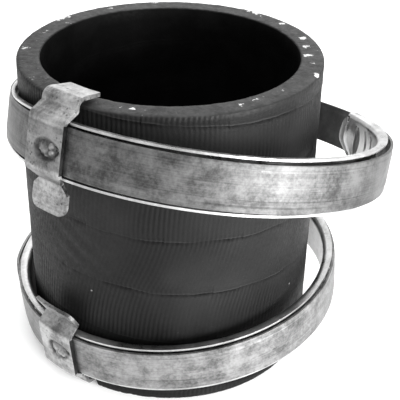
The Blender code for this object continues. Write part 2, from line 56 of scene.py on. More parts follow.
# Hose surface, in the scene only
HOSE_EDGE = 0.55 * MM
EDGE_INSET = 0.16 * MM
WRAP_ROWS = 66
SAWN_ROWS = (0.0, 0.16, 0.34, 0.52, 0.70, 0.86, 1.0)
SAW_DEPTH = 0.16 * MM
SAWN_SHARE = {"cut": 1.0, "rim": 0.55}
BORE_SHARE = {"bore": 1.0, "in": 0.5}
RIM_SHARE = 0.8
RIM_FRAY = 0.10 * MM
RIBS = 208
RIB_SAMPLES = 5
RIB_DEPTH = 0.15 * MM
RIB_SLANTS = (0.14, 0.36, 0.20, 0.30, 0.08)
RIB_BEND = 0.5 * MM
WRAP_PITCH = 16.2 * MM
WRAP_TOP = 85.3 * MM
WRAP_DEPTH = 0.08 * MM
SOFT_DEPTH = 0.10 * MM
SEAM_STEP = 0.26 * MM
SEAM_FADE = 2.6 * MM
LIP_DEPTH = 0.07 * MM
LIP_WIDTH = 0.7 * MM
CRACK_DROP = 0.12 * MM
CRACK_WIDTH = 0.32 * MM
END_FADE = 1.2 * MM
RAGGED_DEG = -106.0
RAGGED_SPREAD_DEG = 16.0
RAGGED_DEPTH = 0.45 * MM
RAGGED_TOP = 0.7 * MM
RAGGED_R = 38.0 * MM

# Wrinkles at the hose's left
WRINKLE_DEG = -122.0
WRINKLE_SPREAD_DEG = 14.0
WRINKLE_DEPTH = 0.35 * MM
WRINKLE_HEIGHT = 44.0 * MM
WRINKLE_SLANT = 0.42 * MM
WRINKLE_PITCH = 5.5 * MM
WRINKLE_REACH = 9.0 * MM

# Clamps, the same sizes as in the CAD source
TOUCH_GAP = 0.3 * MM
CLAMP_STACK = 2.9 * MM
LAP_STEP = 1.15 * MM
LAP_LEAD_DEG = 12.0
LAP_RAMP_DEG = 18.0
FIXED_END_DEG = 6.0
HOUSING_LENGTH = 14.0 * MM
CLIP_LEG_CLEARANCE = 0.75 * MM

# Straps, the same sizes as in the CAD source
BAND_HALF = 6.0 * MM
BAND_T = 0.8 * MM
BAND_LIP = 1.2 * MM
BAND_SLOPE = 0.7 * MM
BAND_CREST = 0.25 * MM
BAND_CORNER = 2.5 * MM
GROOVE_PITCH = 2.6 * MM
GROOVE_DEPTH = 0.4 * MM
GROOVE_SLANT_DEG = 6.0
GROOVE_MARGIN = 6.0 * MM

# Straps, in the scene only
BAND_INSET = 1.22 * MM
BAND_EDGE = 0.14 * MM
LIP_RISE = 0.45
HUG_DEG = 46.0
STRAP_HUG = 2.1 * MM
GROOVE_LEAD = 9.0 * MM
GROOVE_TOP = 3.9 * MM
GROOVE_RUN_OUT = 0.4 * MM
GROOVE_HALF = 0.27
GROOVE_EASE = 0.09
COARSE_STEP = 1.3 * MM
BAND_FINE_LEAD = 12.0 * MM
BAND_FINE_STEP = 0.3 * MM

# Liners, the same sizes as in the CAD source
LINER_T = 0.6 * MM
LINER_INSET = 3.4 * MM
LINER_END_GAP = 6.0 * MM
LINER_HOLE_R = 1.5 * MM
LINER_HOLE_DEG = 24.0
TONGUE_BOW = 2.4 * MM

# Liners, in the scene only; the profile, tongue and slots are in mm
LINER_HUG = 1.0 * MM
LINER_HUG_FLANGE = 0.75
LINER_HUG_HEIGHT = 0.18
LINER_SHIFT = 1.0 * MM
LINER_EDGE = 0.1 * MM
LINER_BEND = 1.1
LINER_FLANGE = 2.3
LINER_HALF = 6.62
WEB_ROWS = (5.2, 4.3, 3.4, 2.4, 1.2, 0.0)
TONGUE_REACH = {"upper": 3.4, "lower": 0.0}
TONGUE_HALF = 6.0
TONGUE_FINE_LENGTH = 27.0 * MM
TONGUE_FINE_STEP = 0.35 * MM
RELIEF_HALF = 6.2
RELIEF_FADE = 1.2
LENS_MIDDLE = 6.0
LENS_LENGTH = 3.3
LENS_HEIGHT = 5.2
LENS_DEPTH = 0.40
RIM_DEPTH = 0.10
RIM_MIDDLE = 0.9
RIM_WIDTH = 1.5
SLOT_BOW = 3.0
SLOT_BOW_HALF = 5.0
SLOT_BOW_START = 7.0
SLOT_BOW_END = 30.0
CORNER_CUT = 4.2
CORNER_LENGTH = 13.0
SLOT_HALF = 4.3
SLOTS = {  # middle behind the tongue's tip and half width
    "upper": ((8.8, 0.75), (14.7, 0.9), (20.6, 1.0)),
    "lower": ((6.2, 0.55), (9.4, 0.55), (12.6, 0.55)),
}
NOTCH_ALONG = (2.4, 3.6)
NOTCH_HEIGHT = (4.2, 5.8)

# Clips in mm, the same sizes as in the CAD source
CLIP_T = 1.1
CLIP_STEP = 3.4
CLIP_REACH = 11.7
CLIP_BRIDGE = 6.35
CLIP_RAMP_RISE = 2.7
CLIP_FOOT = CLIP_BRIDGE + CLIP_RAMP_RISE
CLIP_LEAF = 7.0
CLIP_LEAF_OPEN_DEG = 6.0
CLIP_HOOK_RADIUS = 1.5
CLIP_BEND_RADIUS = 1.0
CLIP_LEG_WIDTH = 13.2
CLIP_BRIDGE_WIDTH = 12.5
CLIP_TAB_SHOULDER = 2.8

# Clips in mm, in the scene only
CLIP_EDGE = 0.16
CLIP_COLUMNS = 45
CLIP_SPACING = 0.32
BEND_STEPS = 6
TAB_ROUND = {"upper": 2.6, "lower": 1.5}
TAB_FLARE = {"upper": (0.0, 0.0), "lower": (-1.3, 2.3)}
BEND_MARK_DEPTH = 0.05
BEND_MARK_PITCH = 1.0
HAMMER_DEPTH = 0.06
PIT_DEPTH = 0.05
FACE_DEPTH = 0.02
# Painted shade on the clip's bridge and the ramp below it, standing in for their darker reflection: overlap,
# fade, and (bridge, ramp) strengths for each clip
SHADE_OVERLAP = 0.6
SHADE_FADE = 0.8
CLIP_SHADE_SHARES = {"upper": (0.5, 0.6), "lower": (0.0, 0.15)}
CLIP_SEED = {"upper": 3.0, "lower": 11.0}

# Dent under the hose, where the lower clip's hook sits
DENT_DEPTH = (CLIP_LEAF + 0.6) * MM
DENT_HALF = 7.2 * MM
DENT_SLOPE = 0.7 * MM
DENT_MARGIN = 1.0 * MM
DENT_TOP = 6.0 * MM

low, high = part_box("hose")
ROOT = Vector(((low.x + high.x) / 2, (low.y + high.y) / 2, low.z))


def polar(radius, angle, height):
    return Vector((radius * math.cos(angle), radius * math.sin(angle), height))


def smooth_step(value):
    value = min(max(value, 0.0), 1.0)
    return value * value * (3 - 2 * value)


def turned_from(middle, degrees):
    """The turn from one bearing to another in degrees, from -180 to 180."""
    return (degrees - middle + 180) % 360 - 180


def rand(point, scale, seed):
    """Smooth noise from -1 to 1 at a point, with features of about the size of scale."""
    return noise.noise(Vector(point) / scale + Vector((seed, 2.3 * seed, -seed)))


class Clamp:
    """One clamp's frame and sizes, the same as in the CAD source and given in mm and degrees.

    The clip's tab length and widths stay in mm, the other lengths are kept in metres."""

    def __init__(self, name, end, slack, lean, hook_bearing, clip_bearing, clip_shift, clip_tab,
                 clip_neck_width, clip_tab_width, hook_height, closure, tail, tongue_gap):
        self.name = name
        self.end = end
        self.radius = HOSE_R + CLAMP_STACK + slack * MM
        self.lean = Euler((math.radians(lean[0]), math.radians(lean[1]), 0), "XYZ").to_matrix()
        self.clip_angle = math.radians(clip_bearing)
        self.clip_shift = clip_shift * MM
        self.clip_tab = clip_tab
        self.clip_neck_width = clip_neck_width
        self.clip_tab_width = clip_tab_width
        self.closure = math.radians(closure)
        self.tail = tail * MM
        self.tongue_gap = tongue_gap * MM
        self.leg_radius = self.radius + TOUCH_GAP - CLIP_STEP * MM
        hook = polar(self.leg_radius, self.clip_angle, self.clip_shift + end * CLIP_REACH * MM)
        seat = polar(HOSE_R + CLIP_LEG_CLEARANCE, math.radians(hook_bearing), hook_height * MM)
        self.frame = Matrix.Translation(ROOT + seat - self.lean @ hook) @ self.lean.to_4x4()

    def lap_offset(self, angle):
        """How far the strap stands off its own circle where it laps over itself."""
        start = self.closure + math.tau - math.radians(LAP_LEAD_DEG + LAP_RAMP_DEG)
        return LAP_STEP * smooth_step((angle - start) / math.radians(LAP_RAMP_DEG))

    def hug(self, angle):
        """How far (0 to 1) the ring lies closer to the hose, around the upper one's left end."""
        off = abs(angle % math.tau - math.pi)
        return 1 - smooth_step(off / math.radians(HUG_DEG)) if self.end > 0 else 0.0

    def band_ends(self):
        start = self.closure - math.radians(FIXED_END_DEG)
        return start, self.closure + math.tau + self.tail / self.radius


UPPER = Clamp("upper", end=1, slack=10.2, lean=(-13.0, 7.6), hook_bearing=-125.5, clip_bearing=-132.9,
              clip_shift=0.2, clip_tab=8.3, clip_neck_width=8.4, clip_tab_width=13.2,
              hook_height=89.0, closure=78, tail=14, tongue_gap=37)
LOWER = Clamp("lower", end=-1, slack=4.1, lean=(1.8, -4.8), hook_bearing=-128.8, clip_bearing=-131.2,
              clip_shift=0.2, clip_tab=5.1, clip_neck_width=13.2, clip_tab_width=14.0,
              hook_height=1.65, closure=106, tail=66, tongue_gap=10)


# Meshes

def new_object(name, verts, faces, uvs=None, floats=None):
    """An object with a uv map and named numbers on its points, where they are given."""
    mesh = bpy.data.meshes.new(name)
    mesh.from_pydata([tuple(v) for v in verts], [], faces)
    if uvs is not None:
        layer = mesh.uv_layers.new(name="uv")
        index = np.empty(len(mesh.loops), dtype=np.int32)
        mesh.loops.foreach_get("vertex_index", index)
        layer.data.foreach_set("uv", np.asarray(uvs, dtype=np.float32)[index].ravel())
    for key, values in (floats or {}).items():
        data = mesh.attributes.new(key, "FLOAT", "POINT")
        data.data.foreach_set("value", np.asarray(values, dtype=np.float32))
    mesh.update()
    item = bpy.data.objects.new(name, mesh)
    bpy.context.scene.collection.objects.link(item)
    return item


def shade(item, angle):
    item.data.shade_smooth()
    item.data.set_sharp_from_angle(angle=math.radians(angle))


def slab(name, outer, inner, uvs, keep=None, cut_side=0, inner_side=0, floats=None):
    """A closed sheet between two matching grids of points, with the cells marked False left open.

    Its cut sides get the material number cut_side, its inner side the number inner_side."""
    rows, cols = len(outer), len(outer[0])
    keep = np.ones((rows - 1, cols - 1), bool) if keep is None else keep
    verts = [p for row in outer for p in row] + [p for row in inner for p in row]
    flat = [uv for row in uvs for uv in row]
    shift = rows * cols
    faces, sides = [], []

    def there(i, j):
        return 0 <= i < rows - 1 and 0 <= j < cols - 1 and keep[i][j]

    for i in range(rows - 1):
        for j in range(cols - 1):
            if not keep[i][j]:
                continue
            a, b, c, d = i * cols + j, (i + 1) * cols + j, (i + 1) * cols + j + 1, i * cols + j + 1
            faces.append((a, b, c, d))
            faces.append((d + shift, c + shift, b + shift, a + shift))
            for di, dj, p, q in ((0, -1, b, a), (1, 0, c, b), (0, 1, d, c), (-1, 0, a, d)):
                if not there(i + di, j + dj):
                    sides.append((p, q, q + shift, p + shift))
    item = new_object(name, verts, faces + sides, flat + flat, floats)
    numbers = [0, inner_side] * (len(faces) // 2) + [cut_side] * len(sides)
    item.data.polygons.foreach_set("material_index", numbers)
    work = bmesh.new()
    work.from_mesh(item.data)
    bmesh.ops.delete(work, geom=[v for v in work.verts if not v.link_faces], context="VERTS")
    bmesh.ops.recalc_face_normals(work, faces=work.faces)
    work.to_mesh(item.data)
    work.free()
    return item


def bevel(item, width, angle=42):
    modifier = item.modifiers.new("edge", "BEVEL")
    modifier.width = width
    modifier.segments = 2
    modifier.limit_method = "ANGLE"
    modifier.angle_limit = math.radians(angle)


def finish_piece(item, materials, slot, *nodes):
    for material in materials:
        item.data.materials.append(material)
    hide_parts(*nodes)
    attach(item, BODY)


# Materials

class Tree:
    """A short way to write a material's nodes."""

    def __init__(self, name):
        self.material = bpy.data.materials.new(name)
        self.material.use_nodes = True
        self.nodes = self.material.node_tree.nodes
        self.links = self.material.node_tree.links
        self.shader = self.nodes["Principled BSDF"]

    def add(self, kind, **settings):
        item = self.nodes.new("ShaderNode" + kind)
        for key, value in settings.items():
            setattr(item, key, value)
        return item

    def feed(self, socket, value):
        if isinstance(value, bpy.types.NodeSocket):
            self.links.new(value, socket)
        else:
            socket.default_value = value

    def math(self, operation, *values, clamp=False):
        item = self.add("Math", operation=operation, use_clamp=clamp)
        for socket, value in zip(item.inputs, values):
            self.feed(socket, value)
        return item.outputs[0]

    def ramp(self, value, low, high, to_low=0.0, to_high=1.0):
        item = self.add("MapRange", interpolation_type="SMOOTHSTEP")
        for key, number in zip(("From Min", "From Max", "To Min", "To Max"), (low, high, to_low, to_high)):
            self.feed(item.inputs[key], number)
        self.feed(item.inputs["Value"], value)
        return item.outputs["Result"]

    def coords(self):
        return self.add("TexCoord").outputs["Object"]

    def uv(self):
        return self.add("UVMap", uv_map="uv").outputs[0]

    def split(self, vector):
        item = self.add("SeparateXYZ")
        self.feed(item.inputs[0], vector)
        return item.outputs

    def scaled(self, vector, scale):
        item = self.add("VectorMath", operation="MULTIPLY")
        self.feed(item.inputs[0], vector)
        item.inputs[1].default_value = scale
        return item.outputs[0]

    def noise(self, vector, scale, detail=3.0, roughness=0.55, distortion=0.0):
        item = self.add("TexNoise")
        self.feed(item.inputs["Vector"], vector)
        settings = (scale, detail, roughness, distortion)
        for key, value in zip(("Scale", "Detail", "Roughness", "Distortion"), settings):
            self.feed(item.inputs[key], value)
        return item.outputs["Fac"]

    def cells(self, vector, scale):
        item = self.add("TexVoronoi")
        self.feed(item.inputs["Vector"], vector)
        self.feed(item.inputs["Scale"], scale)
        return item.outputs["Distance"]

    def attribute(self, name):
        return self.add("Attribute", attribute_name=name).outputs["Fac"]

    def mix(self, factor, first, second):
        """A blend of two colours, each a socket or a grey. The colour sockets are numbers 6 and 7."""
        item = self.add("Mix", data_type="RGBA")
        self.feed(item.inputs[0], factor)
        for number, colour in ((6, first), (7, second)):
            if isinstance(colour, float):
                colour = (colour, colour, colour, 1.0)
            self.feed(item.inputs[number], colour)
        return item.outputs[2]

    def bump(self, height, strength, distance):
        item = self.add("Bump")
        self.feed(item.inputs["Height"], height)
        self.feed(item.inputs["Strength"], strength)
        self.feed(item.inputs["Distance"], distance)
        return item.outputs["Normal"]

    def out(self, **values):
        for key, value in values.items():
            self.feed(self.shader.inputs[key.replace("_", " ")], value)
        return self.material


# Greys of the rubber's surfaces and marks, pairs from dark to pale
WRAP_GREYS = (0.0035, 0.0085)
SAWN_GREYS = (0.012, 0.034)
# Painted shade: the bore's greys are darker than the wrap's, for the shade inside the tube
BORE_SHADE_GREYS = (0.0016, 0.0030)
# Painted shade in the ribs' grooves and the seams' cracks
GROOVE_SHADE_GREY = 0.0012
# Painted shade in the crack under each seam
CRACK_SHADE_GREY = 0.001
# Painted highlight on the lip above each seam
LIP_HIGHLIGHT_GREY = 0.03
DUST_GREY = 0.05
DOT_GREY = 0.22
SPECK_GREY = 0.30
CHIP_GREY = 0.60


def wrap_seams(t, p):
    """The crack below each seam of the wrap and the lip above it, as shares; the crack is given painted
    shade and the lip a painted highlight.
    """
    x, y, z = t.split(p)
    angle = t.math("ARCTAN2", t.math("SUBTRACT", y, ROOT.y), t.math("SUBTRACT", x, ROOT.x))
    fall = t.math("MULTIPLY", t.math("ADD", angle, math.pi / 2), WRAP_PITCH / math.tau)
    down = t.math("SUBTRACT", t.math("SUBTRACT", WRAP_TOP, fall), z)
    wobble = t.math("MULTIPLY", t.math("SUBTRACT", t.noise(p, 60, 3, 0.6), 0.5), 2.2 * MM)
    turn = t.math("DIVIDE", t.math("ADD", down, wobble), WRAP_PITCH)
    below = t.math("MULTIPLY", t.math("FRACT", turn), WRAP_PITCH)
    above = t.math("SUBTRACT", WRAP_PITCH, below)
    presence = t.ramp(t.noise(p, 70, 3, 0.5), 0.32, 0.62, 0.25, 1.0)
    dashes = t.ramp(t.noise(p, 620, 2, 0.5), 0.36, 0.62, 0.45, 0.85)
    crack = t.math("MULTIPLY", t.ramp(below, 0.2 * MM, 1.5 * MM, 1.0, 0.0), presence)
    crack = t.math("MULTIPLY", crack, dashes)
    lip = t.math("MULTIPLY", t.ramp(above, 0.0, 0.45 * MM, 1.0, 0.0), presence)
    return crack, lip


def rubber():
    """Black rubber: the wrap's seams, ribs and dust outside, sawn ends and a bore; painted shade darkens the
    grooves, the seams' cracks and the bore, and a painted highlight lightens each seam's lip.
    """
    t = Tree("wrapped_rubber")
    p = t.coords()
    cut = t.attribute("cut")
    bore = t.attribute("bore")
    wear = t.attribute("wear")
    groove = t.attribute("groove")
    cloudy = t.noise(p, 45, 4)
    fine = t.noise(p, 900, 3, 0.7)
    crack, lip = wrap_seams(t, p)

    wrapped = t.mix(t.ramp(cloudy, 0.35, 0.7), *WRAP_GREYS)
    # Painted shade: darker where the groove attribute is deep
    wrapped = t.mix(t.math("MULTIPLY", groove, 0.6, clamp=True), wrapped, GROOVE_SHADE_GREY)
    # Painted highlight on each seam's lip, then painted shade in the crack below it
    wrapped = t.mix(t.math("MULTIPLY", lip, 0.4), wrapped, LIP_HIGHLIGHT_GREY)
    wrapped = t.mix(t.math("MULTIPLY", crack, 0.95), wrapped, CRACK_SHADE_GREY)
    dust = t.math("ADD", t.noise(p, 420, 4, 0.75), t.math("MULTIPLY", cloudy, 0.25))
    wrapped = t.mix(t.math("MULTIPLY", t.ramp(dust, 0.82, 0.92), 0.3), wrapped, DUST_GREY)
    dot = t.ramp(t.cells(p, 105), 0.022, 0.034, 1.0, 0.0)
    wrapped = t.mix(t.math("MULTIPLY", dot, 0.8), wrapped, DOT_GREY)

    sawn = t.mix(t.ramp(t.noise(t.scaled(p, (1, 1, 0.2)), 260, 4, 0.7), 0.3, 0.75), *SAWN_GREYS)
    colour = t.mix(cut, wrapped, sawn)
    # Painted shade: the bore is painted darker than the rubber outside
    inside = t.mix(t.ramp(t.noise(p, 130, 3), 0.4, 0.75), *BORE_SHADE_GREYS)
    colour = t.mix(bore, colour, inside)
    chips = t.math("ADD", wear, t.math("MULTIPLY", t.math("SUBTRACT", fine, 0.5), 1.6))
    chipped = t.math("MULTIPLY", t.ramp(chips, 0.22, 0.46), t.ramp(wear, 0.02, 0.12))
    colour = t.mix(chipped, colour, CHIP_GREY)
    specks = t.math("ADD", t.noise(p, 820, 3, 0.7), t.math("MULTIPLY", cloudy, 0.3))
    specks = t.math("MULTIPLY", t.ramp(specks, 0.84, 0.90), cut)
    colour = t.mix(t.math("MULTIPLY", specks, 0.5), colour, SPECK_GREY)

    height = t.math("ADD", t.noise(p, 2200, 2, 0.6), t.math("MULTIPLY", t.noise(p, 700, 3, 0.6), 0.8))
    height = t.math("SUBTRACT", height, t.math("MULTIPLY", crack, 2.2))
    height = t.math("ADD", height, t.math("MULTIPLY", lip, 1.2))
    normal = t.bump(height, 0.45, 0.12 * MM)
    rough = t.ramp(fine, 0.25, 0.75, 0.46, 0.66)
    level = t.mix(t.math("MULTIPLY", groove, 0.5, clamp=True), 0.18, 0.05)
    level = t.mix(t.math("MAXIMUM", t.math("MULTIPLY", crack, 0.75), bore), level, 0.03)
    return t.out(Base_Color=colour, Roughness=rough, Normal=normal, Specular_IOR_Level=level)


def steel(name, greys, roughness, blotch, streaky=0.2, along=700.0, pits=0.0, lines=()):
    """Zinc plated sheet: clouds, soft mottling, fine streaks along the strip (uv x), pits with painted shade
    from the points' attribute, and lines.

    Each line is painted shade along a crease: a place across the strip, its half width and its strength."""
    dark, light = greys
    t = Tree(name)
    uv = t.uv()
    p = t.coords()
    streak = t.noise(t.scaled(uv, (50.0, along * 4.5, 1.0)), 1.0, 3, 0.55)
    broad = t.noise(t.scaled(uv, (22.0, along * 0.5, 1.0)), 1.0, 3, 0.55)
    mottle = t.noise(p, blotch, 6, 0.62, 0.3)
    cloud = t.noise(p, 120, 4, 0.6, 0.5)
    grain = t.noise(p, 1150, 4, 0.7)
    value = t.math("ADD", t.math("MULTIPLY", streak, streaky), t.math("MULTIPLY", mottle, 0.5))
    for part, share in ((grain, 0.4), (broad, 0.2), (cloud, 0.5)):
        value = t.math("ADD", value, t.math("MULTIPLY", part, share))
    middle = 0.5 * (1.6 + streaky)
    colour = t.mix(t.ramp(value, middle - 0.22, middle + 0.22), dark, light)
    height = t.math("ADD", t.math("MULTIPLY", streak, streaky), t.math("MULTIPLY", grain, 0.45))
    if pits:
        pit = t.ramp(t.cells(p, 900), 0.0, 0.45)
        spots = t.ramp(t.noise(p, 260, 3, 0.6), 0.50, 0.58)
        hollow = t.math("MULTIPLY", t.math("SUBTRACT", 1.0, pit), spots)
        colour = t.mix(t.math("MULTIPLY", hollow, 0.9, clamp=True), colour, dark * 0.3)
        height = t.math("SUBTRACT", height, t.math("MULTIPLY", hollow, pits))
        # Painted shade from the points' attribute: the clinch's hollows, the bridge and the ramp below it
        colour = t.mix(t.math("MULTIPLY", t.attribute("clip_shade"), 0.85), colour, dark * 0.15)
    # Painted shade along creases across the strip
    for centre, half, strength in lines:
        off = t.math("ABSOLUTE", t.math("SUBTRACT", t.split(uv)[1], centre))
        line = t.ramp(off, 0.0, half, 1.0, 0.0)
        broken = t.ramp(t.noise(t.scaled(uv, (40.0, 0.0, 0.0)), 1.0, 2), 0.4, 0.6, 0.2, 1.0)
        line = t.math("MULTIPLY", line, broken)
        colour = t.mix(t.math("MULTIPLY", line, strength), colour, dark * 0.4)
    normal = t.bump(height, 0.4, 0.06 * MM)
    rough = t.math("ADD", t.ramp(mottle, 0.3, 0.7, *roughness),
                   t.math("MULTIPLY", t.math("SUBTRACT", grain, 0.5), 0.12))
    return t.out(Base_Color=colour, Roughness=rough, Metallic=1.0, Normal=normal)


def plain_steel(name, greys, roughness):
    """Steel for the small turned and pressed parts, without a uv map."""
    t = Tree(name)
    p = t.coords()
    mottle = t.noise(p, 180, 5, 0.6)
    grain = t.noise(p, 900, 3, 0.65)
    colour = t.mix(t.ramp(mottle, 0.3, 0.7), *greys)
    normal = t.bump(grain, 0.4, 0.06 * MM)
    rough = t.ramp(grain, 0.3, 0.7, roughness - 0.06, roughness + 0.1)
    return t.out(Base_Color=colour, Roughness=rough, Metallic=1.0, Normal=normal)


# Hose

SCUFF_REACH_DEG = 9.0
SCUFFS = (  # bearing in degrees, radius, length and width in mm, brightness, rise in mm
    (144, 40.4, 2.6, 0.8, 0.9, 0.15), (147, 36.2, 1.2, 0.6, 0.5, 0.05), (180, 39.3, 0.9, 1.2, 0.6, 0.1),
    (99, 40.2, 1.2, 0.5, 0.7, 0.1), (-102, 38.0, 0.75, 0.55, 1.0, 0.2), (-97, 37.7, 0.7, 0.35, 0.9, 0.12),
    (-106, 37.9, 1.0, 0.5, 0.25, 0.0), (55, 40.5, 3.0, 0.5, 0.8, 0.12), (50, 39.5, 1.6, 0.4, 0.45, 0.0),
    (36, 39.4, 1.0, 0.8, 0.9, 0.12), (18, 38.5, 1.2, 0.9, 0.8, 0.1), (8, 37.4, 1.3, 0.8, 0.6, 0.05),
    (-2, 37.0, 1.0, 1.0, 0.9, 0.15), (-21, 40.8, 1.5, 0.7, 0.9, 0.15), (-10, 38.8, 1.0, 0.6, 0.4, 0.0),
    (-62, 38.1, 0.7, 0.6, 0.9, 0.15), (-54, 37.6, 1.9, 0.5, 0.8, 0.1), (-41, 37.9, 1.5, 0.45, 0.5, 0.05),
    (-149, 39.6, 1.1, 0.6, 0.3, 0.0), (160, 38.0, 1.8, 0.5, 0.3, 0.0), (120, 39.0, 1.4, 0.6, 0.35, 0.0),
)


def wrinkle_depth(degrees, z):
    """The depth of a few slanted folds half way up the hose's left side."""
    aside = turned_from(WRINKLE_DEG, degrees)
    presence = math.exp(-(aside / WRINKLE_SPREAD_DEG) ** 2)
    if presence <= 0.02:
        return 0.0
    fold = z - WRINKLE_HEIGHT + aside * WRINKLE_SLANT
    wave = 0.5 + 0.5 * math.cos(fold * math.tau / WRINKLE_PITCH)
    return presence * WRINKLE_DEPTH * wave * math.exp(-(fold / WRINKLE_REACH) ** 2)


def wrap_depth(angle, z):
    """How far the wrapped surface lies below the full radius, and how deep in a groove it is."""
    degrees = math.degrees(angle)
    across, along = math.cos(angle), math.sin(angle)
    seam = (WRAP_TOP - WRAP_PITCH * (degrees + 90) / 360 - z) / WRAP_PITCH
    turn = math.floor(seam)
    share = seam - turn
    below = share * WRAP_PITCH
    above = (1 - share) * WRAP_PITCH
    strength = 0.55 + 0.45 * rand((2 * across, 2 * along, turn * 7.1), 1.0, 9)
    step = SEAM_STEP * strength * math.exp(-below / SEAM_FADE)
    lip = LIP_DEPTH * math.exp(-(above / LIP_WIDTH) ** 2)
    crack = math.exp(-((below - CRACK_DROP) / CRACK_WIDTH) ** 2)

    bend = RIB_BEND * math.sin(math.pi * share)
    lean = RIB_SLANTS[turn % 5] * (z - HOSE_L / 2) + bend * (1 if turn % 2 else -1)
    wave = 0.7 * rand((6 * across, 6 * along, z / (9 * MM)), 1.0, 2)
    phase = RIBS * angle - lean * RIBS / HOSE_R + math.tau * 0.37 * turn + wave * 1.6
    patch = rand((2.6 * across, 2.6 * along, z / (14 * MM) + 5 * turn), 1.0, 6)
    rib_size = RIB_DEPTH * (0.25 + 0.75 * smooth_step(0.5 + 1.3 * patch))
    rib = 0.5 - 0.5 * math.cos(phase)

    soft = SOFT_DEPTH * (0.5 + 0.5 * rand((3 * across, 3 * along, z / (11 * MM)), 1.0, 1))
    depth = step - lip + rib_size * rib + soft + wrinkle_depth(degrees, z) + WRAP_DEPTH
    groove = min(1.0, 0.5 * crack * strength + 0.85 * rib * rib_size / RIB_DEPTH)
    return max(depth, 0.0), groove


def sawn_relief(spot, angle, radius):
    """How far the sawn end rises at a spot, and how much of it is scuffed bright."""
    rough = 0.10 * rand(spot, 2.2 * MM, 3) + 0.05 * rand(spot, 0.8 * MM, 5)
    rings = 0.03 * math.sin(radius / MM * 9 + 2 * rand(spot, 12 * MM, 8))
    rise = (rough + rings) * MM - SAW_DEPTH
    wear = 0.0
    for bearing, middle, length, width, brightness, raised in SCUFFS:
        off = turned_from(bearing, math.degrees(angle))
        if abs(off) < SCUFF_REACH_DEG:
            off = math.radians(off) * middle
            near = math.exp(-(off / length) ** 2 - ((radius / MM - middle) / (width * 1.15)) ** 2)
            near *= 0.75 + 0.7 * rand(spot, 0.9 * MM, 7)
            wear += brightness * max(near, 0)
            rise += raised * near * MM
    return rise, min(wear, 1.0)


def hose_rows():
    """The tube's closed outline as (kind of surface, radius, height)."""
    rows = []
    for i in range(WRAP_ROWS + 1):
        rows.append(("wrap", HOSE_R, HOSE_EDGE + (HOSE_L - 2 * HOSE_EDGE) * i / WRAP_ROWS))
    rows.append(("rim", HOSE_R - EDGE_INSET, HOSE_L - EDGE_INSET))
    for share in SAWN_ROWS:
        rows.append(("cut", HOSE_R - HOSE_EDGE - share * (HOSE_R - BORE_R - 2 * HOSE_EDGE), HOSE_L))
    rows.append(("in", BORE_R + EDGE_INSET, HOSE_L - EDGE_INSET))
    for z in (HOSE_L - HOSE_EDGE, HOSE_L - 4 * MM, HOSE_L - 12 * MM, HOSE_L * 0.6, HOSE_L * 0.3,
              8 * MM, HOSE_EDGE):
        rows.append(("bore", BORE_R, z))
    return rows + [("cut", BORE_R + HOSE_EDGE, 0.0), ("cut", HOSE_R - HOSE_EDGE, 0.0)]


def make_hose():
    """The wrapped tube, with the shares of sawn, bored, scuffed and grooved surface on its points."""
    columns = RIBS * RIB_SAMPLES
    rows = hose_rows()
    verts = []
    floats = {"cut": [], "bore": [], "wear": [], "groove": []}
    for kind, radius, z in rows:
        for j in range(columns):
            angle = math.tau * j / columns
            here_r, here_z = radius, z
            groove = wear = 0.0
            spot = (radius * math.cos(angle), radius * math.sin(angle), 0)
            if kind in ("wrap", "rim"):
                depth, groove = wrap_depth(angle, z)
                here_r -= depth if kind == "wrap" else depth * RIM_SHARE
                groove *= smooth_step(min(z, HOSE_L - z) / END_FADE)
            if kind in ("cut", "rim", "in") and z > HOSE_L / 2:
                rise, wear = sawn_relief(spot, angle, radius)
                here_z += rise
            if kind == "rim":
                here_r -= RIM_FRAY * abs(rand(spot, 1.6 * MM, 11))
            if z < RAGGED_TOP and radius > RAGGED_R:
                off = turned_from(RAGGED_DEG, math.degrees(angle))
                ragged = math.exp(-(off / RAGGED_SPREAD_DEG) ** 2) + 0.25
                here_z += ragged * RAGGED_DEPTH * max(0.0, rand(spot, 1.3 * MM, 13) + 0.15)
            verts.append(polar(here_r, angle, here_z) + ROOT)
            floats["cut"].append(SAWN_SHARE.get(kind, 0.0))
            floats["bore"].append(BORE_SHARE.get(kind, 0.0))
            floats["wear"].append(wear)
            floats["groove"].append(groove)
    faces = []
    for i in range(len(rows)):
        a, b = i * columns, (i + 1) % len(rows) * columns
        for j in range(columns):
            k = (j + 1) % columns
            faces.append((a + j, a + k, b + k, b + j))
    press_dent(verts)
    item = new_object("hose_wrapped", verts, faces, floats=floats)
    item.data.shade_smooth()
    finish_piece(item, [rubber()], "hose_rubber", "hose")


def press_dent(verts):
    """The lower clip's hook has pressed the rubber at the hose's lower end upwards."""
    inverse = LOWER.frame.inverted()
    turn = Matrix.Rotation(-LOWER.clip_angle, 4, "Z")
    roof = LOWER.clip_shift - CLIP_REACH * MM + 2 * TOUCH_GAP
    inward = LOWER.leg_radius - DENT_DEPTH
    for index, vert in enumerate(verts):
        local = turn @ (inverse @ vert)
        if vert.z > DENT_TOP or local.x < inward - DENT_MARGIN or local.z > roof:
            continue
        side = (abs(local.y) - DENT_HALF) / DENT_SLOPE
        back = (inward - local.x) / DENT_SLOPE
        local.z += (roof - local.z) * (1 - smooth_step(max(side, back, 0.0)))
        verts[index] = LOWER.frame @ (turn.inverted() @ local)


# Straps

